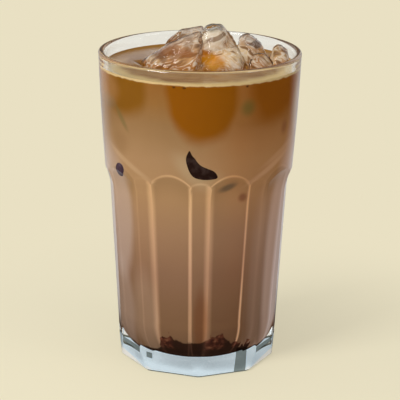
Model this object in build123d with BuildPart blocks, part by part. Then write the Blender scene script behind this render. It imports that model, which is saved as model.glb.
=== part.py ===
from build123d import *
from math import cos, radians
import os

# Iced coffee in a nine-sided pressed tumbler.
# Z is the axis of the glass, Z = 0 is the table, and the front ridge faces -Y.
# All sizes are in millimetres.

# ---- glass: outside ----
height = 146.0
rim_radius = 46.3
drinking_wall = 52.0            # height of the plain wall above the pressed sides
wall_flare = 2.9                # radius gained from the shoulder up to the rim
skirt_flare = 6.4               # and from the table up to the shoulder, before the sides are pressed
lip_wall = 2.7
lip_round_share = 0.47          # rounding of each edge of the lip, of its wall

# ---- glass: the pressed sides ----
side_count = 9
ridge_half_angle = 6.55         # each ridge between two sides is a narrow flat of its own
corner_depth = 2.55             # the corners between sides and ridges lie this far inside the shoulder
corner_flare = 4.6              # radius that these corners gain from the table to the scoops
scoop_length = 11.5             # the sides start to scoop outwards this far below the plain wall
side_scoop_radius = 30.0
ridge_scoop_radius = 24.0
foot_height = 9.0               # the lowest part of each side leans in
foot_lean = 1.25
foot_bevel = 0.8

# ---- glass: inside ----
floor_thickness = 6.0
floor_corner_radius = 19.0
inner_taper = 0.094             # radius lost for each millimetre down
punt_radius = 22.0              # shallow hollow under the foot
punt_depth = 0.8

# ---- drink ----
headspace = 7.0                 # from the drink's surface up to the rim
coffee_depth = 9.0              # of the dark coffee that stays on top
syrup_height = 9.0              # of the dark layer, above the glass floor
tongue_setback = 4.0            # from the wall to the axis of a tongue or lump

# ---- ice ----
ice_gap = 0.6                   # between ice and the glass wall
ice_draught = 17.0              # how far the lumps reach below the drink's surface
ice_root_share = 0.72           # width of a lump's underside beside its waist
laid_out_radius = 43.0          # of the drink's surface that the lumps are laid out for

# ---- worked out from the sizes above ----
shoulder_height = height - drinking_wall
scoop_start = shoulder_height - scoop_length
shoulder_radius = rim_radius - wall_flare
skirt_radius = shoulder_radius - skirt_flare
corner_radius_top = shoulder_radius - corner_depth
corner_radius_foot = corner_radius_top - corner_flare
drink_level = height - headspace
syrup_top = floor_thickness + syrup_height
coffee_base = drink_level - coffee_depth
far = 2 * rim_radius            # past everything, for cutters
below = -5.0


def inner_radius(z):
    """Radius of the inner wall at height z, above its rounded floor."""
    return rim_radius - lip_wall - inner_taper * (height - z)


# ---------------------------------------------------------------- glass

# The room inside: a plain cone with a well rounded floor.
with BuildPart() as room:
    with BuildSketch(Plane.XZ) as room_profile:
        with BuildLine():
            Polyline(
                (0, floor_thickness),
                (inner_radius(floor_thickness), floor_thickness),
                (inner_radius(height + lip_wall), height + lip_wall),
                (0, height + lip_wall),
                close=True,
            )
        make_face()
        floor_corner = room_profile.vertices().group_by(Axis.Y)[0].sort_by(Axis.X)[-1]
        fillet(floor_corner, floor_corner_radius)
    revolve(axis=Axis.Z)


def flat_cutter(half_angle, scoop_radius, lean):
    """What one flat side takes off the blank: straight, then scooped out to the shoulder."""
    reach = cos(radians(half_angle))
    taper = (corner_radius_top - corner_radius_foot) / scoop_start
    foot = (corner_radius_foot + taper * foot_height) * reach
    sole = corner_radius_foot * reach - lean
    below_sole = sole + (sole - foot) / foot_height * -below
    with BuildPart() as cutter:
        with BuildSketch(Plane.XZ):
            with BuildLine():
                Line((below_sole, below), (foot, foot_height))
                side = Line((foot, foot_height), (corner_radius_top * reach, scoop_start))
                scoop = JernArc(start=side @ 1, tangent=side % 1, radius=scoop_radius, arc_size=-75)
                Polyline(scoop @ 1, (far, (scoop @ 1).Y), (far, below), (below_sole, below))
            make_face()
        extrude(amount=rim_radius, both=True)
    return cutter.part


side_cutter = flat_cutter(180 / side_count - ridge_half_angle, side_scoop_radius, foot_lean)
ridge_cutter = flat_cutter(ridge_half_angle, ridge_scoop_radius, 0)

with BuildPart() as glass:
    with BuildSketch(Plane.XZ):
        with BuildLine():
            Polyline(
                (0, 0),
                (skirt_radius, 0),
                (shoulder_radius, shoulder_height),
                (rim_radius, height),
                (0, height),
                close=True,
            )
        make_face()
    revolve(axis=Axis.Z)
    add(room.part, mode=Mode.SUBTRACT)
    fillet(glass.edges().group_by(Axis.Z)[-1], lip_wall * lip_round_share)
    with PolarLocations(0, side_count, start_angle=-90):
        add(ridge_cutter, mode=Mode.SUBTRACT)
    with PolarLocations(0, side_count, start_angle=-90 + 180 / side_count):
        add(side_cutter, mode=Mode.SUBTRACT)
    chamfer(glass.faces().sort_by(Axis.Z)[0].edges(), foot_bevel)
    with BuildSketch(Plane.XZ):
        with BuildLine():
            dome = ThreePointArc((-punt_radius, 0), (0, punt_depth), (punt_radius, 0))
            Line(dome @ 1, dome @ 0)
        make_face()
        split(bisect_by=Plane.YZ)
    revolve(axis=Axis.Z, mode=Mode.SUBTRACT)

# ---------------------------------------------------------------- ice
# Each lump: its outline at the drink's surface, and its crest above it as (x, y, rise).
# Across, they spread with the drink's surface, and their rise stays the same.

lumps = {
    "ice_peak": (
        [(-2, 2), (5, -5), (15, -3), (21, 5), (14, 17), (2, 17)],
        [(3.4, 3, 17), (8.6, 3, 18.5), (9, 9, 18), (3, 10, 16), (15, 6, 11.5), (0, 3, 13)],
    ),
    "ice_left": (
        [(-27, 6), (-22.5, -4.5), (-13, -8), (-1, -9), (1, 3), (-14, 12)],
        [(-24, 3, 2.5), (-17, 0, 6.5), (-4, -1, 13.5), (1, -3, 12), (0, 3, 15.5), (-13, 5, 9.5)],
    ),
    "ice_back": (
        [(-19, 12), (-8, 5), (4, 8), (4, 22), (-9, 25)],
        [(-15, 12, 8), (-10, 10, 13), (0, 9, 15), (2, 15, 15), (-8, 19, 12.5), (-13, 17, 9)],
    ),
    "ice_front": (
        [(2, -12), (12, -10), (21, -6), (20, 2), (6, 3), (0, -4)],
        [(3, -10, 3), (6, -7, 7), (14, -5, 8), (19, -3, 5.5), (17, 2, 8), (6, 1, 9)],
    ),
    "ice_right": (
        [(17, 8), (24, 3), (32, 8), (31, 19), (19, 20)],
        [(19, 8, 9), (22, 6, 12), (27, 9, 9.5), (29, 15, 6.5), (22, 15, 12.5), (18.5, 14, 10)],
    ),
    "ice_chip": (
        [(22, -4), (29, -5), (34, 0), (31, 5), (24, 3)],
        [(23, -3, 3.5), (28, -4, 3), (32, 0, 3.5), (29, 3, 5.5), (25, 1, 6)],
    ),
    "ice_edge": (
        [(34, -3), (40, -2), (42, 6), (38, 13), (32, 9)],
        [(35, -1, 5), (39.5, 0, 5.5), (41, 6, 5.5), (37, 10, 7.5), (34, 6, 8)],
    ),
}

# The space that ice may fill: the room less a gap at the wall, and open above.
with BuildPart() as ice_room:
    with BuildSketch(Plane.XZ):
        with BuildLine():
            Polyline(
                (0, 0),
                (inner_radius(0) - ice_gap, 0),
                (inner_radius(height) - ice_gap, height),
                (inner_radius(height) - ice_gap, 2 * height),
                (0, 2 * height),
                close=True,
            )
        make_face()
    revolve(axis=Axis.Z)


def ice_lump(waist, crest, neighbours):
    """A lump of ice, cut where it meets its neighbours and the space inside the glass."""
    spread = inner_radius(drink_level) / laid_out_radius
    waist = [(x * spread, y * spread) for x, y in waist]
    crest = [(x * spread, y * spread, rise) for x, y, rise in crest]
    middle_x = sum(x for x, y in waist) / len(waist)
    middle_y = sum(y for x, y in waist) / len(waist)
    corners = [(x, y, drink_level) for x, y in waist]
    corners += [(x, y, drink_level + rise) for x, y, rise in crest]
    for x, y in waist:
        root_x = middle_x + (x - middle_x) * ice_root_share
        root_y = middle_y + (y - middle_y) * ice_root_share
        corners.append((root_x, root_y, drink_level - ice_draught))
    with BuildPart() as lump:
        ConvexPolyhedron(corners)
        for neighbour in neighbours:
            add(neighbour, mode=Mode.SUBTRACT)
        add(ice_room.part, mode=Mode.INTERSECT)
    return lump.part


ice = {}
for name, (waist, crest) in lumps.items():
    ice[name] = ice_lump(waist, crest, list(ice.values()))

# ---------------------------------------------------------------- drink
# Three layers: dark syrup on the floor, milky coffee, and dark coffee that sinks in tongues.

with BuildPart() as drink_room:
    add(room.part)
    split(bisect_by=Plane.XY.offset(drink_level), keep=Keep.BOTTOM)


def tongue(angle, half_width, tip, root):
    """A round-ended bulge near the wall, from its root to its tip; angle is from the front."""
    radius = inner_radius(root) - tongue_setback
    with BuildPart() as bulge:
        with BuildSketch(Plane.XZ):
            with BuildLine():
                cap = ThreePointArc((-half_width, root), (0, tip), (half_width, root))
                Line(cap @ 1, cap @ 0)
            make_face()
            split(bisect_by=Plane.YZ)
        revolve(axis=Axis.Z)
    return bulge.part.moved(Rot(0, 0, angle) * Pos(0, -radius, 0))


# (angle from the front, half width, length)
coffee_tongues = [(3, 16, 23), (-54, 14, 15), (53, 16, 20), (118, 14, 19), (174, 15, 14), (-122, 13, 20)]
syrup_lumps = [(-31, 5, 4), (12, 6, 3.5), (38, 5, 4), (75, 6, 6), (-68, 5, 6), (130, 6, 4), (-140, 5, 5), (180, 5, 3)]

with BuildPart() as coffee_layer:
    with BuildSketch(Plane.XY.offset(coffee_base)):
        Circle(far)
    extrude(amount=2 * coffee_depth)
    for angle, half_width, length in coffee_tongues:
        add(tongue(angle, half_width, drink_level - length, coffee_base + 1))
    add(drink_room.part, mode=Mode.INTERSECT)

with BuildPart() as syrup:
    with BuildSketch():
        Circle(far)
    extrude(amount=syrup_top)
    for angle, half_width, length in syrup_lumps:
        add(tongue(angle, half_width, syrup_top + length, syrup_top - 1))
    add(drink_room.part, mode=Mode.INTERSECT)

with BuildPart() as coffee:
    add(coffee_layer.part)
    for lump in ice.values():
        add(lump, mode=Mode.SUBTRACT)

with BuildPart() as milky_coffee:
    add(drink_room.part)
    add(coffee_layer.part, mode=Mode.SUBTRACT)
    add(syrup.part, mode=Mode.SUBTRACT)
    for lump in ice.values():
        add(lump, mode=Mode.SUBTRACT)

# ---------------------------------------------------------------- files

pieces = {"glass": glass.part, "syrup": syrup.part, "milky_coffee": milky_coffee.part, "coffee": coffee.part}
pieces.update(ice)
os.makedirs("parts", exist_ok=True)
for name, piece in pieces.items():
    piece.label = name
    export_step(piece, f"parts/{name}.step")
    print(name, len(piece.solids()), "solid", round(piece.volume / 1000, 2), "cm3")
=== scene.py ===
# %% [markdown]
# # Iced coffee in a nine-sided pressed tumbler
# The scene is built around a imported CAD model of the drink. The model gives every piece its
# place and its size; what follows gives it its looks. Lengths are in millimetres unless a
# comment says otherwise, and MM turns them into Blender's metres.

# %% Load the frame
import math

import bmesh
import bpy
import numpy as np
from mathutils import Matrix, Vector, noise
from mathutils.bvhtree import BVHTree


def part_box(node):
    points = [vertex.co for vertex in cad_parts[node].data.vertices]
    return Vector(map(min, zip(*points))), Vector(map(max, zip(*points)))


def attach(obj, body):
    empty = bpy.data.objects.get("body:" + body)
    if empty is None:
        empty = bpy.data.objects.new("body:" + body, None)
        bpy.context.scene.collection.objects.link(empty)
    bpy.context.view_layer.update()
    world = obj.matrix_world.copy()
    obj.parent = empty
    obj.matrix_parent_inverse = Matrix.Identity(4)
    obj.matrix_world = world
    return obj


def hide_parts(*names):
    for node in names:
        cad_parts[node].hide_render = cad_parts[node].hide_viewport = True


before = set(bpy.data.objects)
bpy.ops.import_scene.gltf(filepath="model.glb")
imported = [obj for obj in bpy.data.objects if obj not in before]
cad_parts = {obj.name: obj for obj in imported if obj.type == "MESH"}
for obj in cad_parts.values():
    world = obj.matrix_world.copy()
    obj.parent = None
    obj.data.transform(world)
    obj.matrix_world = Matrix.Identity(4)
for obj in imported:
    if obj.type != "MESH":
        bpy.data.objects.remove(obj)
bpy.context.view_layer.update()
MM = 0.001
glass_low, glass_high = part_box("glass")
print("glass", [round(v / MM, 1) for v in glass_high - glass_low], "mm")

# %% [markdown]
# ## Colours and meshes
# Colours are chosen as they should look on a screen, from 0 to 255, and Blender wants them
# linear, so one small function converts them. Meshes are made from rows of points that go
# round the glass: each row is a ring, and neighbouring rings are joined by a strip of faces.

# %% Colour and mesh helpers
def screen(red, green, blue):
    """A colour as seen on a screen, 0 to 255, as the linear colour that Blender uses."""
    def linear(value):
        value = value / 255
        return value / 12.92 if value <= 0.04045 else ((value + 0.055) / 1.055) ** 2.4
    return (linear(red), linear(green), linear(blue), 1.0)


def place_in_scene(name, data):
    thing = bpy.data.objects.new(name, data)
    bpy.context.scene.collection.objects.link(thing)
    return thing


def new_piece(name, points, faces, slot):
    """A smooth mesh from points in millimetres. With a slot, it rides on the drink's one body."""
    mesh = bpy.data.meshes.new(name)
    mesh.from_pydata([tuple(c * MM for c in p) for p in points], [], faces)
    mesh.update()
    mesh.shade_smooth()
    piece = place_in_scene(name, mesh)
    if slot:
        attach(piece, "root")
    return piece


def strips(rings, columns):
    """Faces between neighbouring rings of points, each ring closed on itself."""
    faces = []
    for low in range(0, (rings - 1) * columns, columns):
        high = low + columns
        for j in range(columns):
            k = (j + 1) % columns
            faces.append((low + j, low + k, high + k, high + j))
    return faces


def closed_faces(rings, columns):
    """The strips, with a lid on the first ring and another on the last."""
    last = (rings - 1) * columns
    lids = [tuple(range(columns)), tuple(range(last + columns - 1, last - 1, -1))]
    return strips(rings, columns) + lids


def outward(piece):
    """Turn every face of a closed mesh outwards."""
    bm = bmesh.new()
    bm.from_mesh(piece.data)
    bmesh.ops.recalc_face_normals(bm, faces=bm.faces)
    bm.to_mesh(piece.data)
    bm.free()


# %% [markdown]
# ## The shape of the glass
# A pressed tumbler starts as a round blank. Nine sides are flat, a narrow flat ridge stands
# between each two of them, and near the shoulder all of these scoop outwards and die into
# the plain wall. The outside is therefore the smallest of three radii at every angle and
# height: the blank, the nearest side and the nearest ridge. Fire polishing leaves the edges
# slightly round, so a smooth minimum joins the three.

# %% Sizes of the glass
height = glass_high.z / MM
rim_radius = 46.3
drinking_wall = 52.0
shoulder_height = height - drinking_wall
wall_flare = 2.9
wall_bulge = 0.28
shoulder_radius = rim_radius - wall_flare
skirt_radius = shoulder_radius - 6.4
lip_wall = 2.7
lip_round = 0.47 * lip_wall
side_count = 9
pitch = 2 * math.pi / side_count
ridge_half_angle = math.radians(6.55)
corner_radius_top = shoulder_radius - 2.55
corner_radius_foot = corner_radius_top - 4.6
scoop_start = shoulder_height - 11.5
side_scoop_radius = 30.0
ridge_scoop_radius = 24.0
foot_height = 9.0
foot_lean = 1.25
foot_bevel = 0.8
floor_thickness = 6.0
floor_corner_radius = 19.0
inner_taper = 0.094
punt_radius = 22.0
punt_depth = 0.8
drink_level = height - 7.0


def inner_radius(z):
    return rim_radius - lip_wall - inner_taper * (height - z)


print("rim", 2 * rim_radius, "mm, shoulder", round(2 * shoulder_radius, 1), "mm, drink up to", drink_level)


# %% The outside as a function of angle and height
def smooth_least(a, b, depth):
    """The smaller of a and b, rounded off over about this depth."""
    h = np.clip(depth - np.abs(a - b), 0, None) / depth
    return np.minimum(a, b) - h * h * depth / 4


def flat_distance(z, half_angle, scoop_radius, lean):
    """How far a pressed flat stands from the axis at height z."""
    reach = math.cos(half_angle)
    slope = (corner_radius_top - corner_radius_foot) / scoop_start * reach
    straight = corner_radius_foot * reach + slope * z
    foot = -lean * np.clip(1 - z / foot_height, 0, None)
    tilt = math.atan(slope)
    centre_out = corner_radius_top * reach + scoop_radius * math.cos(tilt)
    centre_up = scoop_start - scoop_radius * math.sin(tilt)
    rise = np.clip(z - centre_up, 0, scoop_radius * 0.999)
    scoop = centre_out - np.sqrt(scoop_radius ** 2 - rise ** 2)
    return np.where(z > scoop_start, scoop, straight + foot)


def outer_radius(angle, z):
    """Radius of the outside; angle is from the front ridge, positive to the right."""
    from_ridge = (angle + pitch / 2) % pitch - pitch / 2
    from_side = angle % pitch - pitch / 2
    low = skirt_radius + (shoulder_radius - skirt_radius) * z / shoulder_height
    share = np.clip((z - shoulder_height) / drinking_wall, 0, 1)
    blank = np.where(z < shoulder_height, low, shoulder_radius + wall_flare * share)
    blank = blank + wall_bulge * np.sin(math.pi * share)
    side = flat_distance(z, pitch / 2 - ridge_half_angle, side_scoop_radius, foot_lean)
    ridge = flat_distance(z, ridge_half_angle, ridge_scoop_radius, 0)
    side = side / np.cos(from_side)
    ridge = ridge / np.cos(from_ridge)
    edge_round = np.where(from_ridge > 0, 0.34, 0.12)
    pressed = smooth_least(side, ridge, edge_round)
    radius = smooth_least(blank, pressed, 0.22)
    return radius - np.clip(foot_bevel - z, 0, None)


# %% [markdown]
# ## The glass mesh
# The mesh goes from the hollow under the foot up the outside, over the round lip, and down
# the inner wall to the glass floor. An even grid would cut across the pressed edges and show
# as steps, so the points stand closer together at those edges and where the sides scoop out.

# %% Rings of points
def sector_angles():
    """Angles round the glass, closer together where ridges have their edges."""
    edge = ridge_half_angle
    fine = math.radians(0.22)
    near = math.radians(2.4)
    steps = [
        np.linspace(-edge - near, -edge + near, round(2 * near / fine), endpoint=False),
        np.linspace(-edge + near, edge - near, 5, endpoint=False),
        np.linspace(edge - near, edge + near, round(2 * near / fine), endpoint=False),
        np.linspace(edge + near, pitch - edge - near, 26, endpoint=False),
    ]
    one = np.concatenate(steps)
    return np.concatenate([one + k * pitch for k in range(side_count)])


def even_angles(count):
    return np.linspace(0, 2 * math.pi, count, endpoint=False)


def ring(radius, z, angles):
    """Points round the axis; the front is -Y and angles run towards +X."""
    radius = np.broadcast_to(radius, angles.shape)
    return np.stack([radius * np.sin(angles), -radius * np.cos(angles), np.full(angles.shape, z)], -1)


floor_shares = (0.12, 0.3, 0.5, 0.75, 1.0)


def room_profile(grow=0.0):
    """Radius and height from the middle of the glass floor, round its corner, to the wall."""
    tilt = math.atan(inner_taper)
    corner = floor_corner_radius
    radius = corner + grow
    foot = inner_radius(floor_thickness)
    centre = foot + inner_taper * corner - corner / math.cos(tilt)
    points = [(centre * share, floor_thickness - grow) for share in floor_shares]
    steps = 18
    for step in range(1, steps + 1):
        a = (math.pi / 2 - tilt) * step / steps
        points.append((centre + radius * math.sin(a), floor_thickness + corner - radius * math.cos(a)))
    return points


# %% The tumbler
angles = sector_angles()
rows = [ring(punt_radius * t, punt_depth * (1 - t * t), angles) for t in (0.05, 0.2, 0.4, 0.6, 0.8, 1.0)]
heights = np.concatenate([
    [0.0, 0.12, 0.4, 0.7, 0.85, 1.1], np.arange(2, 8.2, 1.0), np.arange(8.4, 9.8, 0.2),
    np.arange(11, scoop_start - 2, 2.0), np.arange(scoop_start - 1.5, shoulder_height + 6, 0.36),
    np.arange(shoulder_height + 7, height - lip_round - 0.5, 2.4),
])
rows += [ring(outer_radius(angles, np.full(angles.shape, z)), z, angles) for z in heights]
lip_middle = height - lip_round
quarter = [math.pi / 2 * step / 10 for step in range(11)]
for a in quarter:
    out = rim_radius - lip_round + lip_round * math.cos(a)
    rows.append(ring(out, lip_middle + lip_round * math.sin(a), angles))
for a in quarter:
    out = rim_radius - lip_wall + lip_round - lip_round * math.sin(a)
    rows.append(ring(out, lip_middle + lip_round * math.cos(a), angles))
profile = room_profile()
for z in np.arange(lip_middle - 2, profile[-1][1] + 1, -3.0):
    rows.append(ring(inner_radius(z), z, angles))
rows += [ring(r, z, angles) for r, z in reversed(profile)]
glass = new_piece("tumbler", np.concatenate(rows), closed_faces(len(rows), len(angles)), "glass")
outward(glass)
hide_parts("glass")
print("tumbler", len(rows), "rings of", len(angles), "points")

# %% [markdown]
# ## Node helpers
# A material is a tree of small nodes, and most of them do plain sums. Each common kind gets a
# helper with a short name, which takes plain values and other nodes' sockets alike.

# %% Adding nodes
def put(tree, kind, inputs={}, **settings):
    """Add a shader node. inputs gives each socket a plain value or another node's socket."""
    node = tree.nodes.new("ShaderNode" + kind)
    for name, value in settings.items():
        setattr(node, name, value)
    for key, value in inputs.items():
        if isinstance(value, bpy.types.NodeSocket):
            tree.links.new(value, node.inputs[key])
        else:
            node.inputs[key].default_value = value
    return node


def calc(tree, operation, *values, clamp=False):
    inputs = dict(enumerate(values))
    return put(tree, "Math", inputs, operation=operation, use_clamp=clamp).outputs[0]


def sum_of_two(operation):
    return lambda tree, a, b: calc(tree, operation, a, b)


plus, minus, times, over = map(sum_of_two, ("ADD", "SUBTRACT", "MULTIPLY", "DIVIDE"))


def line(tree, value, slope, start):
    """slope times value, plus start."""
    return calc(tree, "MULTIPLY_ADD", value, slope, start)


def slide(tree, value, low, high, to_low=0.0, to_high=1.0, kind="LINEAR"):
    """to_low where value is low and to_high where it is high, in a straight line between."""
    sockets = {"Value": value, "From Min": low, "From Max": high, "To Min": to_low, "To Max": to_high}
    return put(tree, "MapRange", sockets, interpolation_type=kind).outputs[0]


def ease(tree, value, low, high, to_low=0.0, to_high=1.0):
    """As slide, but it starts and ends softly."""
    return slide(tree, value, low, high, to_low, to_high, "SMOOTHSTEP")


# %% Points, noise, colours and shaders
def place_of(tree):
    """The point in the object's own metres, which is the same as the frame's."""
    return put(tree, "TexCoord").outputs["Object"]


def split(tree, vector):
    return put(tree, "SeparateXYZ", {0: vector}).outputs


def vector(tree, operation, inputs):
    return put(tree, "VectorMath", inputs, operation=operation).outputs


def mottle(tree, point, scale, detail, more={}, result="Fac"):
    """Soft noise round 0.5, with scale blotches to the metre."""
    sockets = {"Vector": point, "Scale": scale, "Detail": detail, **more}
    return put(tree, "TexNoise", sockets).outputs[result]


def bumps(tree, relief, strength, distance):
    inputs = {"Height": relief, "Strength": strength, "Distance": distance}
    return put(tree, "Bump", inputs).outputs[0]


def mixed(tree, share, under, above, how="MIX"):
    """Lay one colour over another by a share from 0 to 1."""
    inputs = {0: share, 6: under, 7: above}
    return put(tree, "Mix", inputs, data_type="RGBA", blend_type=how).outputs[2]


def ramp(tree, value, stops):
    """Colours along a value: stops are (position from 0 to 1, screen colour)."""
    node = put(tree, "ValToRGB", {0: value})
    while len(node.color_ramp.elements) < len(stops):
        node.color_ramp.elements.new(0.5)
    for element, (position, colour) in zip(node.color_ramp.elements, stops):
        element.position = position
        element.color = screen(*colour)
    return node.outputs[0]


def principled(tree, inputs):
    return put(tree, "BsdfPrincipled", inputs).outputs[0]


def either(tree, share, under, above):
    return put(tree, "MixShader", {0: share, 1: under, 2: above}).outputs[0]


def new_material(name):
    material = bpy.data.materials.new(name)
    material.use_nodes = True
    material.node_tree.nodes.clear()
    return material, material.node_tree


def finish_material(tree, shader):
    put(tree, "OutputMaterial", {"Surface": shader})
    print("material of", len(tree.nodes), "nodes")


# %% [markdown]
# ## Clear glass
# Real glass lets nearly all light in, so the coffee behind it is well lit. A path tracer finds
# that light only by luck, and the drink would turn dark and noisy. So lamps and soft light pass
# straight through, while the camera still sees the glass bend and gleam. Pressed glass is never
# quite even, hence the faint waves. A darker glass paints the shade on the few facets of the foot
# that look grey, where light is lost.

# %% Glass materials
def lets_lamps_through(tree, shader):
    """Let lamps and soft light pass straight through, so that what it holds is lit."""
    path = put(tree, "LightPath").outputs
    clear = put(tree, "BsdfTransparent").outputs[0]
    soft = either(tree, path["Is Diffuse Ray"], shader, clear)
    return either(tree, path["Is Shadow Ray"], soft, clear)


clear_glass = {"Roughness": 0.0, "IOR": 1.51, "Transmission Weight": 1.0}
glass_material, tree = new_material("clear pressed glass")
waves = bumps(tree, mottle(tree, place_of(tree), 90.0, 1.0), 0.05, 0.6 * MM)
shader = principled(tree, {"Base Color": (0.985, 1.0, 0.992, 1.0), "Normal": waves, **clear_glass})
finish_material(tree, lets_lamps_through(tree, shader))
glass.data.materials.append(glass_material)

# Painted shade: a dark glass for the few facets of the foot that look grey, where light is lost.
dim_material, tree = new_material("pressed glass where light is lost")
shader = principled(tree, {"Base Color": (0.1, 0.108, 0.09, 1.0), **clear_glass})
finish_material(tree, lets_lamps_through(tree, shader))

# %% [markdown]
# ## The drink
# One closed piece stands for the three layers of drink. It reaches a little way into the
# glass wall, so that no film of air can show between them. Its side is only seen through glass
# and needs no gloss, while its surface is wet, so they are two materials. The drink creeps up
# the wall a little, and dips inside the ice, so that no flat sheet shows through clear ice.

# %% Rings of the drink
into_wall = 0.3
wall_rise = 1.1
drink_angles = even_angles(300)
profile = room_profile(into_wall)
rows = []
for i, (r, z) in enumerate(profile):
    rows.append(ring(r + (into_wall if i >= len(floor_shares) else 0), z, drink_angles))
for z in np.arange(profile[-1][1] + 2, drink_level + wall_rise - 0.4, 2.0):
    rows.append(ring(inner_radius(z) + into_wall, z, drink_angles))
rows.append(ring(inner_radius(drink_level) + into_wall, drink_level + wall_rise, drink_angles))
side_rows = len(rows)
edge = inner_radius(drink_level)
insets = (0.0, 0.3, 0.7, 1.2, 1.8, 2.6)
for inset in insets:
    rows.append(ring(edge - inset, drink_level + wall_rise * math.exp(-inset / 0.9), drink_angles))
for radius in np.arange(edge - 3.5, 0.5, -0.9):
    rows.append(ring(radius, drink_level, drink_angles))
print("drink", side_rows, "rings up the side,", len(rows) - side_rows, "across the surface")


# %% Where the ice stands in the drink
def inside_ice(point, lumps):
    """Whether a line up from a point in metres leaves a lump once more than it enters."""
    up = Vector((0, 0, 1))
    for lump in lumps:
        hits = 0
        hit = lump.ray_cast(point, up)[0]
        while hit is not None:
            hits += 1
            hit = lump.ray_cast(hit + up * 0.02 * MM, up)[0]
        if hits % 2:
            return True
    return False


ice_nodes = [n for n in sorted(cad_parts) if n.startswith("ice_")]
lumps = []
for node in ice_nodes:
    bm = bmesh.new()
    bm.from_mesh(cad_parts[node].data)
    lumps.append(BVHTree.FromBMesh(bm))
    bm.free()
level_from = side_rows + len(insets)
top = np.array(rows[level_from:])
sunk = np.zeros(top.shape[:2])
for i, row in enumerate(top):
    for j, p in enumerate(row):
        sunk[i, j] = inside_ice(Vector(p) * MM, lumps)
print("surface points inside ice:", int(sunk.sum()), "of", sunk.size)
for _ in range(5):
    sideways = (np.roll(sunk, 1, 1) + np.roll(sunk, -1, 1)) / 2
    padded = np.vstack([sunk[:1] * 0, sunk, sunk[-1:]])
    sunk = 0.5 * (padded[:-2] + padded[2:]) / 2 + 0.25 * sideways + 0.25 * sunk
ice_dip = 7.0
top[:, :, 2] -= ice_dip * sunk
rows[level_from:] = list(top)

# %% The drink's mesh
count = len(drink_angles)
drink = new_piece("drink", np.concatenate(rows), closed_faces(len(rows), count), "milky_coffee")
outward(drink)
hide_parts("syrup", "milky_coffee", "coffee")
for face in drink.data.polygons:
    on_side = min(face.vertices) < (side_rows - 1) * count
    face.material_index = 0 if on_side else 1
print("drink", len(drink.data.polygons), "faces, surface at", drink_level, "mm")

# %% [markdown]
# ## Colours by angle and height
# Everything in the drink is laid out round the glass, so the first node group turns a point
# into an angle from the front, in degrees, and a height in millimetres, both stirred a little
# by noise. Node groups are built once and placed with their own values, which suits effects
# that come back: tongues of dark coffee that sink from the surface, and soft spots.

# %% Node groups
def new_group(name, inputs, outputs):
    """A shader node group with number sockets, and its inner input and output nodes."""
    tree = bpy.data.node_groups.new(name, "ShaderNodeTree")
    for socket in inputs:
        kind = "NodeSocketVector" if socket == "Point" else "NodeSocketFloat"
        tree.interface.new_socket(socket, in_out="INPUT", socket_type=kind)
    for socket in outputs:
        tree.interface.new_socket(socket, in_out="OUTPUT", socket_type="NodeSocketFloat")
    return tree, tree.nodes.new("NodeGroupInput").outputs, tree.nodes.new("NodeGroupOutput").inputs


def use(tree, group, names, *values):
    """Place a group, give its named inputs these values, and return its outputs."""
    return put(tree, "Group", dict(zip(names, values)), node_tree=group).outputs


around_names = ("Point", "Stir")
around, inp, out = new_group("round the glass", around_names, ("Angle", "Height"))
parts = split(around, inp["Point"])
turn = calc(around, "ARCTAN2", parts["X"], times(around, parts["Y"], -1.0))
turn = times(around, turn, math.degrees(1))
up = over(around, parts["Z"], MM)
drift = mottle(around, inp["Point"], 45.0, 2.0, result="Color")
drift = put(around, "SeparateColor", {0: drift}).outputs
for socket, source, channel, stir_share in (("Angle", turn, "Red", 1.0), ("Height", up, "Green", 0.5)):
    wander = minus(around, drift[channel], 0.5)
    wander = times(around, wander, times(around, inp["Stir"], stir_share))
    around.links.new(plus(around, source, wander), out[socket])
print("group", around.name, len(around.nodes), "nodes")


# %% Tongues and spots
def soft_edge(tree, far, softness):
    """1 well inside far = 1 and 0 well outside it."""
    return ease(tree, over(tree, minus(tree, 1.0, far), softness), -0.5, 0.5)


tongue_names = ("Angle", "Height", "Centre", "Half Width", "Length", "Softness")
tongue, inp, out = new_group("sinking tongue", tongue_names, ("Mask",))
blunt = 2.7
across = over(tongue, minus(tongue, inp["Angle"], inp["Centre"]), inp["Half Width"])
down = over(tongue, minus(tongue, drink_level, inp["Height"]), inp["Length"])
across = calc(tongue, "POWER", calc(tongue, "ABSOLUTE", across), blunt)
down = calc(tongue, "POWER", calc(tongue, "MAXIMUM", down, 0.0), blunt)
far = calc(tongue, "POWER", plus(tongue, across, down), 1 / blunt)
tongue.links.new(soft_edge(tongue, far, inp["Softness"]), out["Mask"])

spot_names = ("Angle", "Height", "Centre", "Level", "Half Width", "Half Height", "Lean", "Softness")
spot, inp, out = new_group("soft spot", spot_names, ("Mask",))
across = minus(spot, inp["Angle"], inp["Centre"])
up = minus(spot, inp["Height"], inp["Level"])
across = over(spot, minus(spot, across, times(spot, up, inp["Lean"])), inp["Half Width"])
up = over(spot, up, inp["Half Height"])
far = calc(spot, "SQRT", plus(spot, times(spot, across, across), times(spot, up, up)))
spot.links.new(soft_edge(spot, far, inp["Softness"]), out["Mask"])
print("groups", tongue.name, len(tongue.nodes), "nodes and", spot.name, len(spot.nodes), "nodes")

# %% [markdown]
# ## Light gathered by the pressed edges
# The rounded edges of the ridges act as thin lenses: each gathers light into a bright line
# down the drink, sharp on one edge and soft on the other, and the scoops end in faint arches.
# Tracing such light takes very many samples, so the lines are laid on the drink by angle and
# height, strongest where the wall faces a lamp. The group also says how far a point is from
# the middle of its flat, which later turns the shading, so that the flats read as flats.

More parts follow.
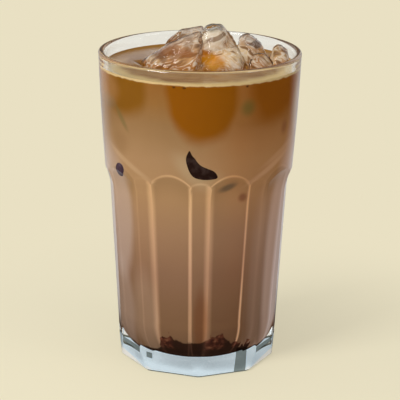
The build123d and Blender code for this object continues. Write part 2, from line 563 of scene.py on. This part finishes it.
# %% Sides, ridges and arches
pressed_names = ("Angle", "Height")
tree, inp, out = new_group(
    "light through the pressed sides", pressed_names, ("Line", "Shade Under Arch", "Turn"))
step_angle = math.degrees(pitch)
edge_angle = math.degrees(ridge_half_angle)
half_side = step_angle / 2 - edge_angle
angle_in = inp["Angle"]
from_ridge = calc(tree, "FLOORED_MODULO", plus(tree, angle_in, step_angle / 2), step_angle)
from_ridge = minus(tree, from_ridge, step_angle / 2)
from_side = calc(tree, "FLOORED_MODULO", angle_in, step_angle)
from_side = minus(tree, from_side, step_angle / 2)
on_ridge = calc(tree, "LESS_THAN", calc(tree, "ABSOLUTE", from_ridge), edge_angle)
on_side = minus(tree, 1.0, on_ridge)
arch = 0.0
for offset, where, half, drop, top_up in (
        (from_side, on_side, half_side, -4.6, 3.2), (from_ridge, on_ridge, edge_angle, -1.6, 0.2)):
    share = over(tree, offset, half)
    curve = line(tree, times(tree, share, share), drop, shoulder_height + top_up)
    arch = plus(tree, arch, times(tree, curve, where))
below = minus(tree, arch, inp["Height"])
inside = slide(tree, below, -0.4, 0.4)


# %% Lines of light
def stripe(tree, value, centre, half_width):
    """1 where value is at centre, falling to 0 at half_width away."""
    return ease(tree, calc(tree, "ABSOLUTE", minus(tree, value, centre)), 0.0, half_width, 1.0, 0.0)


def turned_to_light(tree, angle, towards):
    """1 where the wall faces the lamp at angle towards or its opposite, little square to it."""
    off = calc(tree, "RADIANS", times(tree, minus(tree, angle, towards), 2.0))
    return line(tree, calc(tree, "MAXIMUM", calc(tree, "COSINE", off), 0.0), 0.88, 0.12)


sharp = stripe(tree, from_ridge, -edge_angle, 1.6)
sharp = times(tree, sharp, turned_to_light(tree, angle_in, 15.0))
soft = times(tree, stripe(tree, from_ridge, edge_angle - 0.6, 3.9), 0.68)
soft = times(tree, soft, turned_to_light(tree, angle_in, -10.0))
lower_down = line(tree, inp["Height"], -0.0075, 1.48)
lines = times(tree, calc(tree, "MAXIMUM", sharp, soft), times(tree, inside, lower_down))
crown = times(tree, stripe(tree, below, 0.0, 1.0), line(tree, on_side, 0.35, 0.2))
crown = times(tree, crown, turned_to_light(tree, angle_in, 0.0))
tree.links.new(calc(tree, "MAXIMUM", lines, crown), out["Line"])
# Painted shade: the drink is dimmed below each side's arch, fading out some 14 mm further down.
under = times(tree, ease(tree, below, 0.6, 14.0, 1.0, 0.0), inside)
tree.links.new(times(tree, under, on_side), out["Shade Under Arch"])
facet = plus(tree, times(tree, from_ridge, on_ridge), times(tree, from_side, on_side))
tree.links.new(times(tree, facet, inside), out["Turn"])
pressed = tree
print("group", pressed.name, len(pressed.nodes), "nodes")

# %% [markdown]
# ## The side of the drink
# Milk and coffee don't mix at once. The drink is darkest at the syrup, palest where the milk
# sits, and dark again on top, where fresh coffee sinks in blunt tongues. Light comes from the
# left, so the left and the right have their own columns of colour, lit and shaded, which is
# painted light. Ice deep in the drink shows only as soft darker places. The soft paler places
# are painted light, where the thick glass and its shoulder bend more light onto the drink, and
# so is a thin pale line under one ridge edge. All of these are rows in tables, easy to read and
# to move.

# %% Layers and tongues
layers_left = [
    (0, (116, 84, 60)), (24, (122, 89, 62)), (34, (127, 93, 66)), (49, (136, 100, 74)),
    (68, (154, 116, 84)), (87, (165, 126, 86)), (104, (163, 125, 86)), (112, (155, 118, 79)),
    (121, (145, 108, 68)), (130, (143, 99, 51)), (137, (140, 92, 42)),
]
layers_right = [
    (0, (112, 78, 54)), (24, (118, 82, 56)), (34, (124, 87, 60)), (49, (135, 94, 67)),
    (68, (151, 109, 79)), (87, (168, 120, 79)), (104, (169, 119, 74)), (112, (164, 112, 66)),
    (121, (150, 98, 50)), (130, (152, 98, 46)), (137, (152, 95, 42)),
]
sunk_coffee = [
    # angle, half width, length, softness, colour
    (1.4, 20.6, 24.5, 0.3, (137, 78, 9)), (-50, 16, 16, 0.5, (126, 80, 20)),
    (49, 20, 18, 0.55, (136, 75, 12)), (118, 22, 19, 0.4, (126, 74, 14)),
    (174, 24, 14, 0.4, (132, 78, 14)), (-122, 20, 20, 0.4, (128, 76, 14)),
]
side_material, tree = new_material("coffee seen through the glass")
point = place_of(tree)
where = use(tree, around, around_names, point, 13.0)
level = calc(tree, "DIVIDE", where["Height"], drink_level, clamp=True)
left, right = (ramp(tree, level, [(z / drink_level, c) for z, c in layers])
               for layers in (layers_left, layers_right))
sideways = calc(tree, "COSINE", calc(tree, "RADIANS", minus(tree, where["Angle"], 100.0)))
colour = mixed(tree, ease(tree, sideways, -0.35, 0.35), left, right)
for *row, c in sunk_coffee:
    mask = use(tree, tongue, tongue_names, where["Angle"], where["Height"], *row)["Mask"]
    colour = mixed(tree, mask, colour, screen(*c))
print(len(sunk_coffee), "tongues of coffee")

# %% Soft spots
# Dark spots are ice deep in the drink, bubbles at the froth and a syrup streak; the pale spots, the sloping
# pale bands under the shoulder and the thin pale line at 33.4 degrees are painted light.
drink_and_painted_light_spots = [
    # angle, height, half width, half height, lean, softness, strength, colour
    (17.5, 92.5, 4.5, 2.2, 1.5, 1.2, 0.75, (92, 76, 58)),
    (29, 86.5, 3, 2, 0, 1.2, 0.7, (122, 70, 46)),
    (28, 128.5, 4, 3.2, 0, 1.6, 0.6, (88, 84, 36)),
    (-68, 126.5, 7, 3, 0, 1.4, 0.5, (110, 100, 80)),
    (-54.5, 120.5, 2.2, 5, -0.9, 1.1, 0.55, (108, 94, 54)),
    (60, 116, 3, 3, 0, 1.5, 0.5, (120, 66, 40)),
    (-6, 100, 7, 7, -0.9, 1.4, 0.32, (190, 168, 130)),
    (5, 96.8, 8, 3.4, 0, 1.4, 0.3, (180, 152, 110)),
    (1, 26, 5.2, 16, 0, 0.9, 0.5, (108, 56, 24)),
    (33.4, 22, 1.3, 26, 0, 1, 0.2, (232, 176, 130)),
    (-72, 74, 20, 31, 0, 0.5, 0.36, (206, 182, 166)),
    (-76, 26, 20, 24, 0, 0.5, 0.2, (206, 182, 166)),
    (-45, 26, 11, 22, 0, 0.8, 0.16, (196, 166, 140)),
    (50, 42, 12, 44, 0, 0.8, 0.14, (206, 176, 156)),
    (77, 44, 8, 46, 0, 0.8, 0.5, (240, 228, 226)),
    (86, 124, 14, 16, 0, 0.8, 0.55, (214, 186, 162)),
    (-72, 133, 15, 8, 0, 0.8, 0.34, (182, 134, 88)),
    (-57, 109, 7, 5, 0, 1.2, 0.26, (126, 88, 48)),
    (-16.2, 138.4, 0.9, 0.5, 0, 0.8, 0.8, (70, 40, 16)),
    (-10.2, 138.3, 1.1, 0.5, 0, 0.8, 0.8, (70, 40, 16)),
    (26.6, 138.4, 0.8, 0.5, 0, 0.8, 0.8, (70, 36, 14)),
    (74, 52, 20, 56, 0, 0.5, 0.46, (226, 190, 170)),
    (-52, 100.2, 4.2, 6, -2.8, 1.2, 0.24, (214, 178, 136)),
    (50, 99, 4.2, 5.5, 2.9, 1.2, 0.45, (206, 156, 116)),
    (58, 104.5, 5, 4.5, 2.9, 1.3, 0.3, (206, 156, 116)),
]


def add_spots(tree, colour, across, up, spots):
    """Lay soft spots of colour over the colour so far."""
    for *row, strength, c in spots:
        mask = use(tree, spot, spot_names, across, up, *row)["Mask"]
        colour = mixed(tree, times(tree, mask, strength), colour, screen(*c))
    return colour


still = use(tree, around, around_names, point, 0.0)
colour = add_spots(tree, colour, still["Angle"], still["Height"], drink_and_painted_light_spots)
print(len(drink_and_painted_light_spots), "soft spots")

# %% [markdown]
# ## Syrup, lines of light and froth
# The syrup is a dark, grainy layer whose ragged edge climbs the wall in a few lumps. Noise
# moves that edge up and down, and stripes by angle lift it. The lines of light multiply the
# colour, so they brighten dark and pale drink alike. Thin froth hangs along the wall at the top.

# %% Syrup
lumpy = mottle(tree, point, 190.0, 3.0, {"Roughness": 0.6})
syrup_edge = line(tree, lumpy, 5.0, 13.6)
to_side = slide(tree, calc(tree, "ABSOLUTE", still["Angle"]), 24.0, 42.0, 0.0, -7.0)
syrup_edge = plus(tree, syrup_edge, to_side)
crumbs = mottle(tree, point, 330.0, 2.0)
syrup_lumps = ((-28.5, 9.5, 5.4), (14.0, 11.0, 5.0), (35.5, 7.0, 5.0), (46.0, 6.0, 6.5))
lumped = 0.0
for centre, half_width, lift in syrup_lumps:
    lump = calc(tree, "MULTIPLY", stripe(tree, still["Angle"], centre, half_width), 2.0, clamp=True)
    lumped = calc(tree, "MAXIMUM", lumped, lump)
    lump = times(tree, lump, line(tree, crumbs, 1.6, -0.1))
    syrup_edge = line(tree, lump, lift, syrup_edge)
syrup = slide(tree, minus(tree, syrup_edge, still["Height"]), -0.4, 0.4)
speck = mottle(tree, point, 420.0, 2.0)
syrup_colour = ramp(tree, speck, [(0.4, (60, 30, 20)), (0.55, (92, 50, 34)), (0.7, (120, 74, 50))])
crumbly = times(tree, lumped, slide(tree, still["Height"], 11.0, 13.5))
syrup_colour = mixed(tree, crumbly, screen(47, 27, 17), syrup_colour)
colour = mixed(tree, syrup, colour, syrup_colour)
print("syrup with", len(syrup_lumps), "lumps")

# %% Light, froth and shading
light = use(tree, pressed, pressed_names, still["Angle"], still["Height"])
bright = mixed(tree, light["Line"], (1, 1, 1, 1), (2.3, 2.45, 2.65, 1))
# Painted shade: the drink is darkened a little below the arches.
dim = mixed(tree, times(tree, light["Shade Under Arch"], 0.35), bright, (0.62, 0.60, 0.52, 1))
lit = mixed(tree, 1.0, colour, dim, "MULTIPLY")
froth_low = line(tree, mottle(tree, point, 260.0, 3.0), -1.6, drink_level + 0.9)
froth = ease(tree, minus(tree, still["Height"], froth_low), -0.35, 0.35)
lit = mixed(tree, froth, lit, screen(208, 176, 122))
back = calc(tree, "RADIANS", times(tree, light["Turn"], -1.0))
normal = put(tree, "NewGeometry").outputs["Normal"]
turned = put(tree, "VectorRotate", {"Vector": normal, "Axis": (0, 0, 1), "Angle": back},
             rotation_type="AXIS_ANGLE").outputs[0]
shader = principled(tree, {"Base Color": lit, "Roughness": 0.6, "Specular IOR Level": 0.0, "Normal": turned})
finish_material(tree, shader)
drink.data.materials.append(side_material)

# %% [markdown]
# ## The surface of the drink
# Milk swirls through the coffee, so a distorted noise mixes two browns. Cream clings to the
# wall at the front, and the back looks golden, as light comes in through the glass. Under the
# ice the dips are dark with pale seams, which gives the clear lumps something to bend.

# %% Surface material
top_material, tree = new_material("coffee surface")
point = place_of(tree)
swirl = mottle(tree, point, 55.0, 3.0, {"Distortion": 1.5})
colour = ramp(tree, swirl, [(0.35, (146, 100, 48)), (0.65, (178, 134, 82))])
flat = vector(tree, "MULTIPLY", {0: point, 1: (1, 1, 0)})[0]
away = vector(tree, "LENGTH", {0: flat})["Value"]
parts = split(tree, point)
rear = ease(tree, over(tree, parts["Y"], away), -0.3, 0.4)
wide = line(tree, swirl, 6 * MM, 4.5 * MM)
inward = over(tree, minus(tree, edge * MM, away), wide)
thin = ease(tree, inward, 0.4, 1.2, 1.0, 0.0)
colour = mixed(tree, times(tree, thin, rear), colour, screen(158, 110, 44))
front_cream = times(tree, thin, minus(tree, 1.0, rear))
colour = mixed(tree, front_cream, colour, screen(226, 192, 128))
open_surface = slide(tree, parts["Z"], (drink_level - 3) * MM, (drink_level - 0.5) * MM)
seam = mottle(tree, point, 170.0, 3.0)
under_ice = ramp(tree, seam, [(0.38, (104, 60, 14)), (0.52, (158, 108, 38)), (0.66, (214, 184, 124))])
colour = mixed(tree, open_surface, under_ice, colour)
finish_material(tree, principled(tree, {"Base Color": colour, "Roughness": 0.12, "Specular IOR Level": 0.06}))
drink.data.materials.append(top_material)

# %% [markdown]
# ## The sole of the glass
# The underside of a pressed tumbler is stippled, so it scatters light and fills the thick foot
# with a pale glow. A little painted glow of its own stands in for that light, bluish in the middle
# and warmer to the left and right, and painted shade darkens its bevel, which draws the thin line
# under the glass. Faces get their material by place.

# %% Sole material
sole_material, tree = new_material("stippled sole")
point = place_of(tree)
parts = split(tree, point)
across, back = (over(tree, parts[axis], MM) for axis in "XY")
away = calc(tree, "SQRT", plus(tree, times(tree, across, across), times(tree, back, back)))
# Painted light: with its glow, the sole's colour stands in for the light in the foot, bluish in the middle
# and warmer to the left and right.
warm = slide(tree, calc(tree, "ABSOLUTE", across), 20.0, 22.5)
colour = mixed(tree, warm, screen(196, 211, 218), screen(228, 224, 214))
height_up = over(tree, parts["Z"], MM)
outside = calc(tree, "GREATER_THAN", away, 33.0)
on_bevel = times(tree, calc(tree, "GREATER_THAN", height_up, 0.03), outside)
# Painted shade: the bevel is dark, which draws the thin line under the glass.
colour = mixed(tree, on_bevel, colour, screen(84, 86, 74))
stipple = put(tree, "TexVoronoi", {"Vector": point, "Scale": 900.0}).outputs["Distance"]
finish_material(tree, principled(tree, {
    "Base Color": colour, "Roughness": 0.5, "Emission Color": colour, "Emission Strength": 0.62,
    "Normal": bumps(tree, stipple, 0.5, 0.4 * MM)}))
glass.data.materials.append(sole_material)
glass.data.materials.append(dim_material)

# %% Faces of the sole and the foot
for face in glass.data.polygons:
    if face.center.z < (punt_depth + 0.02) * MM and face.normal.z < -0.3:
        face.material_index = 1
        continue
    x, y, z = face.center / MM
    degrees = math.degrees(math.atan2(x, -y))
    on_outside = math.hypot(x, y) > inner_radius(z) - 0.5
    right_ridge = 28.3 < degrees < 37.6 and z < 12.5
    left_ridge = -40.8 < degrees < -35.4 and 6.6 < z < 10
    crease = 47.5 < abs(degrees) < 72.5 and 7.5 < z < 11.5
    # Painted shade: these facets of the foot take the dark glass, where light is lost.
    if on_outside and (right_ridge or left_ridge or crease):
        face.material_index = 2
indices = [face.material_index for face in glass.data.polygons]
print("sole", indices.count(1), "faces, grey facets", indices.count(2), "faces")

# %% [markdown]
# ## Ice sunk against the wall
# Two lumps of sunk ice press against the wall and look dark there, because light that enters
# them doesn't come back. Each is a thin swollen shape: its outline is drawn flat, rounded by
# cutting its corners, wrapped round the inner wall, and shrunk ring by ring to its middle.

# %% Sunk lumps
def sunk_lump(name, outline, middle, swell=0.3):
    """A lump pressed against the wall. outline and middle are (mm to the right, mm up)."""
    rings = []
    shares = (1.0, 1.0, 0.96, 0.88, 0.72, 0.5, 0.25)
    for i, share in enumerate(shares):
        out = -1.2 if i == 0 else into_wall + 0.04 + swell * (1 - share * share)
        for across, up in outline:
            x = middle[0] + (across - middle[0]) * share
            z = middle[1] + (up - middle[1]) * share
            angle = x / inner_radius(z)
            radius = inner_radius(z) + out
            rings.append((radius * math.sin(angle), -radius * math.cos(angle), z))
    piece = new_piece(name, rings, closed_faces(len(shares), len(outline)), "ice")
    outward(piece)
    return piece


def rounded(outline, times_cut):
    """Cut the corners of an outline again and again, so that it gets round."""
    for _ in range(times_cut):
        finer = []
        for (x0, z0), (x1, z1) in zip(outline, outline[1:] + outline[:1]):
            for share in (0.22, 0.78):
                finer.append(((1 - share) * x0 + share * x1, (1 - share) * z0 + share * z1))
        outline = finer
    return outline


hook_corners = [
    (-5, 110.3), (-6.6, 106.4), (-6.2, 103.4), (-5, 99.8), (-3.2, 97.2), (0.2, 96.2), (4, 96.2),
    (7.6, 96.8), (6, 100), (3.2, 101.3), (0.2, 102.6), (-1.6, 104.4), (-2.6, 106.2), (-4, 107.6),
]
hook = sunk_lump("sunk_ice_hook", rounded(hook_corners, 2), (-2.6, 100.0))
oval_middle = (-41.0, 95.5)
oval_outline = []
for a in even_angles(28):
    oval_outline.append((oval_middle[0] + 3.0 * math.cos(a) + 1.0 * math.sin(a),
                         oval_middle[1] + 2.9 * math.sin(a) - 0.8 * math.cos(a)))
oval = sunk_lump("sunk_ice_oval", oval_outline, oval_middle)
for piece, dark in ((hook, (36, 20, 14)), (oval, (62, 44, 52))):
    material, tree = new_material(piece.name + " looks dark")
    lighter = tuple(c + 26 for c in dark)
    colour = ramp(tree, mottle(tree, place_of(tree), 300.0, 2.0), [(0.45, dark), (0.75, lighter)])
    shader = principled(tree, {"Base Color": colour, "Roughness": 0.5, "Specular IOR Level": 0.0})
    finish_material(tree, shader)
    piece.data.materials.append(material)
    print(piece.name, len(piece.data.polygons), "faces")

# %% [markdown]
# ## Clear shells of ice
# Broken ice has small flats, soft melted edges and a wet, clear skin. The CAD gives the big
# flats. Each lump is chipped at its corners, turned into an even grid by a voxel remesh,
# softened once, and pushed in and out a little by slanted noise. Fine grain in the bump bends
# the light further, and low down the ice is stained by coffee.

# %% Ice material
ice_material, tree = new_material("ice")
point = place_of(tree)
lift = line(tree, mottle(tree, point, 130.0, 2.0), 14 * MM, split(tree, point)["Z"])
lift = slide(tree, lift, (drink_level + 3) * MM, (drink_level + 23) * MM)
colour = ramp(tree, lift, [(0.0, (250, 240, 222)), (0.4, (252, 250, 246)), (0.8, (254, 254, 254))])
slant = put(tree, "Mapping", {
    "Vector": point, "Rotation": (0.0, math.radians(32), 0.0), "Scale": (80.0, 300.0, 380.0)}).outputs[0]
grain = mottle(tree, slant, 1.0, 3.0)
shader = principled(tree, {
    "Base Color": colour, "Roughness": 0.02, "IOR": 1.31, "Transmission Weight": 1.0,
    "Normal": bumps(tree, grain, 0.65, 1.0 * MM)})
finish_material(tree, lets_lamps_through(tree, shader))


# %% Chipping and melting a lump
def chip(bm, random_row, cuts):
    """Cut flakes off the corners, so that a lump gets the small flats of broken ice."""
    for _ in range(cuts):
        azimuth, height_share, depth = random_row.uniform((0, -0.1, 0.1), (2 * math.pi, 1.0, 0.9))
        flat_part = math.sqrt(max(0.0, 1 - height_share * height_share))
        facing = Vector((flat_part * math.cos(azimuth), flat_part * math.sin(azimuth), height_share))
        furthest = max(v.co.dot(facing) for v in bm.verts)
        bmesh.ops.bisect_plane(
            bm, geom=bm.verts[:] + bm.edges[:] + bm.faces[:], dist=1e-7,
            plane_co=facing * (furthest - depth * MM), plane_no=facing, clear_outer=True)
        bmesh.ops.holes_fill(bm, edges=[e for e in bm.edges if e.is_boundary])


def even_grid(piece, voxel, melt=False):
    """Give the piece a new mesh on an even grid, softened once if it is to melt."""
    remesh = piece.modifiers.new("even grid", "REMESH")
    remesh.mode = "VOXEL"
    remesh.voxel_size = voxel
    if melt:
        smooth = piece.modifiers.new("melted", "SMOOTH")
        smooth.iterations = 1
        smooth.factor = 0.5
    graph = bpy.context.evaluated_depsgraph_get()
    done = bpy.data.meshes.new_from_object(piece.evaluated_get(graph))
    piece.modifiers.clear()
    piece.data = done
    return done


def ride_as_ice(piece, material):
    piece.data.shade_smooth()
    piece.data.materials.clear()
    piece.data.materials.append(material)
    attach(piece, "root")


def clear_shell(node, seed):
    bm = bmesh.new()
    bm.from_mesh(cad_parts[node].data)
    bmesh.ops.remove_doubles(bm, verts=bm.verts, dist=0.02 * MM)
    bmesh.ops.dissolve_limit(bm, angle_limit=math.radians(1), verts=bm.verts, edges=bm.edges)
    chip(bm, np.random.default_rng(seed), 12)
    mesh = bpy.data.meshes.new(node)
    bm.to_mesh(mesh)
    bm.free()
    piece = place_in_scene("clear_" + node, mesh)
    done = even_grid(piece, 0.5 * MM, melt=True)
    offset = Vector((seed * 3.7, seed * 1.3, seed * 2.1))
    for v in done.vertices:
        p = v.co / MM
        along = Vector((p.x * 0.5 - p.z * 0.9, p.y * 0.8, p.z * 0.12 + p.x * 0.15))
        broad = 0.35 * noise.fractal(p * 0.2 + offset, 1.0, 2.0, 3)
        ribs = 0.26 * noise.noise(along * 0.8 + offset)
        v.co += v.normal * (0.25 + broad + ribs) * MM
    ride_as_ice(piece, ice_material)
    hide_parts(node)
    return piece


# %% [markdown]
# ## Cloudy middles
# Inside, real ice is full of fine cracks and air that catch the light, and clear shells alone
# would look like empty glass. So each shell holds a second lump: its own shape drawn in, half
# clear and half milky, with slanted streaks, pale veins, and patches of cream, grey and amber.

# %% Colours of the middles
pale_patches = [
    # to the right, height, half width, half height, lean, softness, strength, colour
    (-20, 141.4, 4, 1.8, 0.5, 0.8, 0.8, (240, 200, 144)),
    (-7, 141.2, 3, 1.6, 0.4, 0.8, 0.7, (234, 190, 130)),
    (-11.5, 151.8, 5.5, 2.8, 1.4, 0.8, 0.75, (156, 142, 104)),
    (5, 150.5, 5, 5.8, 0, 0.8, 0.85, (250, 236, 208)),
    (13.5, 143.5, 5.5, 3.6, 0, 0.9, 0.85, (255, 220, 166)),
    (17.5, 148, 5, 4, -0.6, 0.8, 0.6, (224, 190, 150)),
    (19.4, 142.8, 3.6, 3, -0.4, 0.8, 0.9, (255, 232, 190)),
    (32.2, 142.6, 3.6, 2.8, 0, 0.8, 0.8, (240, 208, 160)),
    (24, 150, 5.2, 3.4, -0.3, 0.7, 0.8, (186, 154, 128)),
    (37.5, 145.5, 5, 4, 0, 0.8, 0.75, (204, 168, 112)),
]
amber_patches = [
    (-14.5, 145.6, 4.6, 2.6, 0.6, 0.9, 0.85, (146, 86, 24)),
    (-6.5, 145, 4, 2.4, -0.3, 0.9, 0.8, (150, 84, 20)),
    (-17.6, 142.4, 2, 2.4, 0, 0.8, 0.75, (120, 72, 26)),
    (-21.6, 143.2, 3.2, 1.8, 0, 0.9, 0.65, (118, 80, 42)),
    (5, 155.8, 4.6, 2.4, 0, 0.7, 0.9, (118, 110, 88)),
    (-4.6, 148.8, 2.6, 2.6, 0, 0.9, 0.55, (140, 98, 50)),
    (-11.5, 143.4, 3.6, 2, 0, 0.9, 0.6, (138, 84, 28)),
    (2, 142.8, 3.4, 3.2, 0.3, 0.9, 0.8, (186, 108, 8)),
    (6.5, 141.6, 4.2, 2.8, 0, 0.9, 0.88, (220, 150, 16)),
    (25.5, 146.4, 3.2, 1.1, -2, 0.8, 0.85, (88, 58, 42)),
    (28.6, 144, 3, 1.6, 0, 0.8, 0.7, (206, 144, 50)),
]
cloud_material, tree = new_material("cloudy middle of the ice")
point = place_of(tree)
wander = mottle(tree, point, 120.0, 1.0, result="Color")
wander = vector(tree, "SUBTRACT", {0: wander, 1: (0.5, 0.5, 0.5)})[0]
wander = vector(tree, "SCALE", {0: wander, "Scale": 5 * MM})[0]
stirred = vector(tree, "ADD", {0: point, 1: wander})[0]
parts = split(tree, stirred)
to_the_right, height_up = (over(tree, parts[axis], MM) for axis in "XZ")
lift = calc(tree, "DIVIDE", minus(tree, height_up, drink_level - 1.0), 18.0, clamp=True)
colour = ramp(tree, lift, [(0.0, (186, 124, 52)), (0.4, (212, 166, 116)), (0.8, (230, 202, 168))])
colour = add_spots(tree, colour, to_the_right, height_up, pale_patches)

# %% Streaks and veins
streaks = []
for tilt in (26.0, -38.0):
    sockets = {"Vector": stirred, "Axis": (0, 1, 0), "Angle": math.radians(tilt)}
    slant = put(tree, "VectorRotate", sockets).outputs[0]
    slant = vector(tree, "MULTIPLY", {0: slant, 1: (90, 260, 520)})[0]
    streaks.append(mottle(tree, slant, 1.0, 1.5))
on_right = calc(tree, "GREATER_THAN", to_the_right, 11.0)
streak = put(tree, "Mix", {0: on_right, 2: streaks[0], 3: streaks[1]}).outputs[0]
off_middle = calc(tree, "ABSOLUTE", minus(tree, streak, 0.5))
vein = slide(tree, off_middle, 0.035, 0.01, 0.0, 0.9)
pale = calc(tree, "MAXIMUM", slide(tree, streak, 0.58, 0.64, 0.0, 0.8), vein)
colour = mixed(tree, pale, colour, screen(255, 244, 224))
dark = slide(tree, streak, 0.45, 0.37, 0.0, 0.75)
colour = mixed(tree, dark, colour, screen(116, 74, 34))
colour = add_spots(tree, colour, to_the_right, height_up, amber_patches)
shader = principled(tree, {"Base Color": colour, "Roughness": 0.06, "IOR": 1.2, "Transmission Weight": 0.45})
finish_material(tree, lets_lamps_through(tree, shader))


# %% The lumps of ice
def cloudy_middle(shell, share):
    """The cracked, cloudy inside of a lump: its own shape, drawn in towards the middle."""
    core = place_in_scene(shell.name.replace("clear", "cloudy"), shell.data.copy())
    done = even_grid(core, 0.8 * MM)
    middle = sum((v.co for v in done.vertices), Vector()) / len(done.vertices)
    for v in done.vertices:
        uneven = 0.03 * noise.noise(v.co / MM * 0.3)
        v.co = middle + (v.co - middle) * (share + uneven)
    ride_as_ice(core, cloud_material)
    return core


for seed, node in enumerate(ice_nodes, 1):
    shell = clear_shell(node, seed)
    core = cloudy_middle(shell, 0.88)
    print(shell.name, len(shell.data.vertices), "points, cloudy middle", len(core.data.polygons), "faces")

# %% [markdown]
# ## The table
# The floor is a plain pale disc, as bright as the wall behind it. Clear glass on a pale floor
# has no outlines, and a studio puts black and white cards beside it. Here mirrored rays see a
# floor that is dark near the glass and along its two sides, and bent rays see an even one.

# %% Floor
cream = screen(233, 224, 195)
count = 96
rows = [ring(r, 0, even_angles(count)) for r in (1, 60, 150, 300, 600, 1500, 4000)]
faces = [face[::-1] for face in strips(len(rows), count)] + [tuple(range(count))]
floor = new_piece("floor", np.concatenate(rows) - [0, 0, 0.02], faces, None)
floor_material, tree = new_material("pale table")
path = put(tree, "LightPath").outputs
place = put(tree, "NewGeometry").outputs["Position"]
parts = split(tree, place)
away = vector(tree, "LENGTH", {0: place})["Value"]
cloth = put(tree, "BsdfDiffuse", {"Color": (1.0, 0.93, 0.68, 1)}).outputs[0]
bright = put(tree, "Emission", {"Color": cream, "Strength": 1.0}).outputs[0]
seen = either(tree, ease(tree, away, 0.04, 0.2, 0.55, 1.0), cloth, bright)
plain = put(tree, "BsdfDiffuse", {"Color": (0.84, 0.86, 0.88, 1)}).outputs[0]
shade = ease(tree, over(tree, parts["Y"], away), 0.45, 0.85, 0.03, 0.9)
beyond = minus(tree, calc(tree, "ABSOLUTE", parts["X"]), 43 * MM)
beyond = over(tree, beyond, calc(tree, "MAXIMUM", parts["Y"], 0.001))
beside = times(tree, slide(tree, beyond, 0.2, 0.1), calc(tree, "GREATER_THAN", parts["Y"], 0.0))
near = slide(tree, away, 0.25, 0.32, -0.96, 0.0)
shade = times(tree, shade, line(tree, beside, near, 1.0))
grey = put(tree, "CombineColor", {0: shade, 1: shade, 2: shade}).outputs[0]
mirrored = put(tree, "BsdfDiffuse", {"Color": grey}).outputs[0]
bent = put(tree, "Emission", {"Color": screen(236, 232, 222), "Strength": 1.0}).outputs[0]
shader = either(tree, path["Is Camera Ray"], plain, seen)
shader = either(tree, path["Is Glossy Ray"], shader, mirrored)
finish_material(tree, either(tree, path["Is Transmission Ray"], shader, bent))
floor.data.materials.append(floor_material)

# %% [markdown]
# ## The studio
# Soft light from all round shows the drink's colours plainly, one large lamp on the left
# models the shape, and a weak one on the right lifts the shadow. Glass and ice see bright and
# dark bands, which become long highlights and give clear walls their edges.

# %% Room light
world = bpy.data.worlds.new("studio")
bpy.context.scene.world = world
world.use_nodes = True
tree = world.node_tree
tree.nodes.clear()
path = put(tree, "LightPath").outputs
parts = split(tree, put(tree, "TexCoord").outputs["Generated"])
round_room = calc(tree, "ARCTAN2", parts["X"], parts["Y"])
cool = (0.96, 0.98, 1.0, 1)


def background(tree, colour, strength):
    return put(tree, "Background", {"Color": colour, "Strength": strength}).outputs[0]


def banded_room(tree, bands, low, high, to_low, to_high):
    """Light from the studio walls: this many bright and dark bands round the room."""
    wave = calc(tree, "COSINE", times(tree, round_room, float(bands)))
    band = ease(tree, wave, low, high, to_low, to_high)
    upward = slide(tree, parts["Z"], 0.55, 0.9)
    return background(tree, cool, put(tree, "Mix", {0: upward, 2: band, 3: 0.95}).outputs[0])


bent = banded_room(tree, 2, -0.97, -0.8, 0.2, 0.95)
mirrored = banded_room(tree, 4, 0.3, 0.9, 0.85, 0.12)
shader = either(tree, path["Is Glossy Ray"], background(tree, cool, 0.42), mirrored)
shader = either(tree, path["Is Transmission Ray"], shader, bent)
shader = either(tree, path["Is Camera Ray"], shader, background(tree, cream, 1.0))
put(tree, "OutputWorld", {"Surface": shader})


# %% Lamps
def soft_lamp(name, place, target, size, watts):
    lamp = bpy.data.lights.new(name, "AREA")
    lamp.shape = "RECTANGLE"
    lamp.size = size[0] * MM
    lamp.size_y = size[1] * MM
    lamp.energy = watts
    holder = place_in_scene(name, lamp)
    holder.location = Vector(place) * MM
    way = Vector(target) * MM - holder.location
    holder.rotation_euler = way.to_track_quat("-Z", "Y").to_euler()
    print("lamp", name, watts, "W,", round(way.length, 2), "m away")


soft_lamp("key", (-620, -500, 520), (0, 0, 90), (350, 500), 6)
soft_lamp("fill", (650, -350, 300), (0, 0, 90), (250, 500), 1)

# %% [markdown]
# ## The camera
# A drink looks best from a little above its rim, through a long lens from well back, which
# keeps the sides nearly straight. A very small roll levels the camera, and the Standard view
# shows each colour as it was chosen.

# %% Camera
camera_data = bpy.data.cameras.new("camera")
camera_data.sensor_width = 36
camera_data.lens = 161.5
camera = place_in_scene("camera", camera_data)
stand = Vector((-20.2, -800.7, 317.8)) * MM
aim = Vector((0.77, 0, 74.5)) * MM
roll = 0.0118
turn = (aim - stand).to_track_quat("-Z", "Y").to_matrix().to_4x4()
camera.matrix_world = Matrix.Translation(stand) @ turn @ Matrix.Rotation(roll, 4, "Z")
bpy.context.scene.camera = camera
bpy.context.scene.view_settings.view_transform = "Standard"
print("camera", round((aim - stand).length, 3), "m away, lens", camera_data.lens, "mm")
